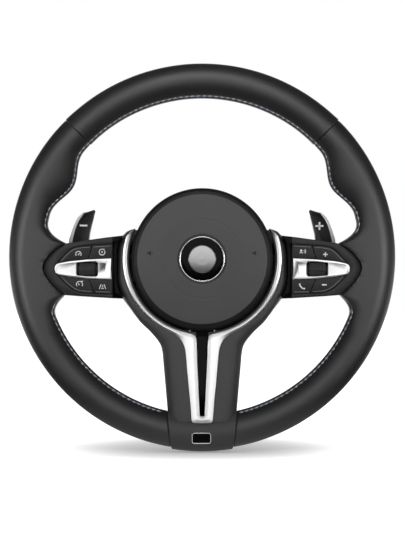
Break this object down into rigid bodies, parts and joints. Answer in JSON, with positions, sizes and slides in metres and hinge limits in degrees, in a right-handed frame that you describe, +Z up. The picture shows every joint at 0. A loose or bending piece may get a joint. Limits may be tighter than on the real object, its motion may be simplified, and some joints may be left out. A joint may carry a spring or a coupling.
{
  "type": "steering wheel",
  "caption": "Round leather car steering wheel with thumb rests, horn and airbag cushion, switch pods, split lower spoke with metal trim, and gear paddles.",
  "frame": {"origin": "on the steering axis, inside the hub's bore, 14 mm in front of the hub's rear face", "axes": "+X to the driver's right, +Y along the steering axis away from the driver, +Z up at straight ahead"},
  "size_m": [0.37, 0.0818, 0.3717],
  "materials": {
    "leather": "fine-grained smooth leather, low sheen",
    "foam": "moulded foam skin",
    "cast_alloy": "as cast",
    "soft_plastic": "soft-touch, fine grain",
    "cushion_skin": "leather-grained moulding",
    "satin_metal": "satin",
    "chrome": "polished",
    "gloss_black": "gloss",
    "bezel_plastic": "fine matt",
    "button_plastic": "satin",
    "paddle_plastic": "satin",
    "dark_plastic": "moulded",
    "roller_rubber": "ribbed",
    "circuit_board": "solder resist",
    "silicone": "moulded",
    "wire_sheath": "woven sleeve",
    "textile": "folded coated fabric",
    "steel": "zinc plated"
  },
  "bodies": {
    "wheel": {"armature": "cast_alloy", "rim_foam": "foam", "rim_leather_top": "leather", "rim_leather_left": "leather", "rim_leather_right": "leather", "spoke_cover": "soft_plastic", "trim": "satin_metal", "slot_insert": "gloss_black", "badge_frame": "chrome", "badge_plate": "gloss_black", "rear_cover": "dark_plastic", "lower_back_cover": "dark_plastic", "pod_bezel_left": "bezel_plastic", "pod_bezel_right": "bezel_plastic", "switch_housing_left": "dark_plastic", "switch_housing_right": "dark_plastic", "switch_board_left": "circuit_board", "switch_board_right": "circuit_board", "contact_mat_left": "silicone", "contact_mat_right": "silicone", "blade_left": "satin_metal", "blade_right": "satin_metal", "paddle_bracket_left": "cast_alloy", "paddle_bracket_right": "cast_alloy", "paddle_pins": "steel", "paddle_springs": "steel", "paddle_switches": "dark_plastic", "horn_contacts": "dark_plastic", "connector_block": "dark_plastic", "cover_screws": "steel", "wiring_left": "wire_sheath", "wiring_right": "wire_sheath", "horn_springs": "steel"},
    "horn_cushion": {"airbag_cover": "cushion_skin", "emblem_base": "gloss_black", "emblem_ring": "chrome", "emblem_disc": "satin_metal", "airbag_pack": "textile", "gas_generator": "cast_alloy", "module_plate": "cast_alloy", "module_pins": "steel", "generator_nuts": "steel"},
    "button_left_upper_outer": {"button_left_upper_outer": "button_plastic"},
    "button_left_upper_inner": {"button_left_upper_inner": "button_plastic"},
    "button_left_lower_outer": {"button_left_lower_outer": "button_plastic"},
    "button_left_lower_inner": {"button_left_lower_inner": "button_plastic"},
    "button_right_upper_outer": {"button_right_upper_outer": "button_plastic"},
    "button_right_upper_inner": {"button_right_upper_inner": "button_plastic"},
    "button_right_lower_outer": {"button_right_lower_outer": "button_plastic"},
    "button_right_lower_inner": {"button_right_lower_inner": "button_plastic"},
    "roller_left": {"roller_left": "roller_rubber"},
    "roller_cradle": {"roller_cradle": "dark_plastic"},
    "roller_right": {"roller_right": "roller_rubber"},
    "paddle_left": {"paddle_left": "paddle_plastic", "paddle_plate_left": "satin_metal"},
    "paddle_right": {"paddle_right": "paddle_plastic", "paddle_plate_right": "satin_metal"}
  },
  "joints": [
    {"name": "horn_press", "type": "slide", "parent": "wheel", "child": "horn_cushion", "axis": [0, 1, 0], "range_m": [0, 0.002], "stiffness_N_per_m": 15000, "deforming": ["horn_springs"]},
    {"name": "button_left_upper_outer_press", "type": "slide", "parent": "wheel", "child": "button_left_upper_outer", "axis": [0, 1, 0], "range_m": [0, 0.001], "stiffness_N_per_m": 1500},
    {"name": "button_left_upper_inner_press", "type": "slide", "parent": "wheel", "child": "button_left_upper_inner", "axis": [0, 1, 0], "range_m": [0, 0.001], "stiffness_N_per_m": 1500},
    {"name": "button_left_lower_outer_press", "type": "slide", "parent": "wheel", "child": "button_left_lower_outer", "axis": [0, 1, 0], "range_m": [0, 0.001], "stiffness_N_per_m": 1500},
    {"name": "button_left_lower_inner_press", "type": "slide", "parent": "wheel", "child": "button_left_lower_inner", "axis": [0, 1, 0], "range_m": [0, 0.001], "stiffness_N_per_m": 1500},
    {"name": "button_right_upper_outer_press", "type": "slide", "parent": "wheel", "child": "button_right_upper_outer", "axis": [0, 1, 0], "range_m": [0, 0.001], "stiffness_N_per_m": 1500},
    {"name": "button_right_upper_inner_press", "type": "slide", "parent": "wheel", "child": "button_right_upper_inner", "axis": [0, 1, 0], "range_m": [0, 0.001], "stiffness_N_per_m": 1500},
    {"name": "button_right_lower_outer_press", "type": "slide", "parent": "wheel", "child": "button_right_lower_outer", "axis": [0, 1, 0], "range_m": [0, 0.001], "stiffness_N_per_m": 1500},
    {"name": "button_right_lower_inner_press", "type": "slide", "parent": "wheel", "child": "button_right_lower_inner", "axis": [0, 1, 0], "range_m": [0, 0.001], "stiffness_N_per_m": 1500},
    {"name": "roller_left_rock", "type": "hinge", "parent": "wheel", "child": "roller_left", "pos_m": [-0.1097, -0.0552, -0.012], "axis": [1, 0, 0], "range_deg": [-14, 14], "stiffness_Nm_per_rad": 0.02},
    {"name": "roller_right_press", "type": "slide", "parent": "wheel", "child": "roller_cradle", "axis": [0, 1, 0], "range_m": [0, 0.0006], "stiffness_N_per_m": 1500},
    {"name": "roller_right_turn", "type": "hinge", "parent": "roller_cradle", "child": "roller_right", "pos_m": [0.1097, -0.0552, -0.012], "axis": [1, 0, 0], "continuous": true},
    {"name": "paddle_left_pull", "type": "hinge", "parent": "wheel", "child": "paddle_left", "pos_m": [-0.093, -0.024, 0], "axis": [0, 0, 1], "range_deg": [0, 4.5], "stiffness_Nm_per_rad": 2.5},
    {"name": "paddle_right_pull", "type": "hinge", "parent": "wheel", "child": "paddle_right", "pos_m": [0.093, -0.024, 0], "axis": [0, 0, -1], "range_deg": [0, 4.5], "stiffness_Nm_per_rad": 2.5}
  ]
}
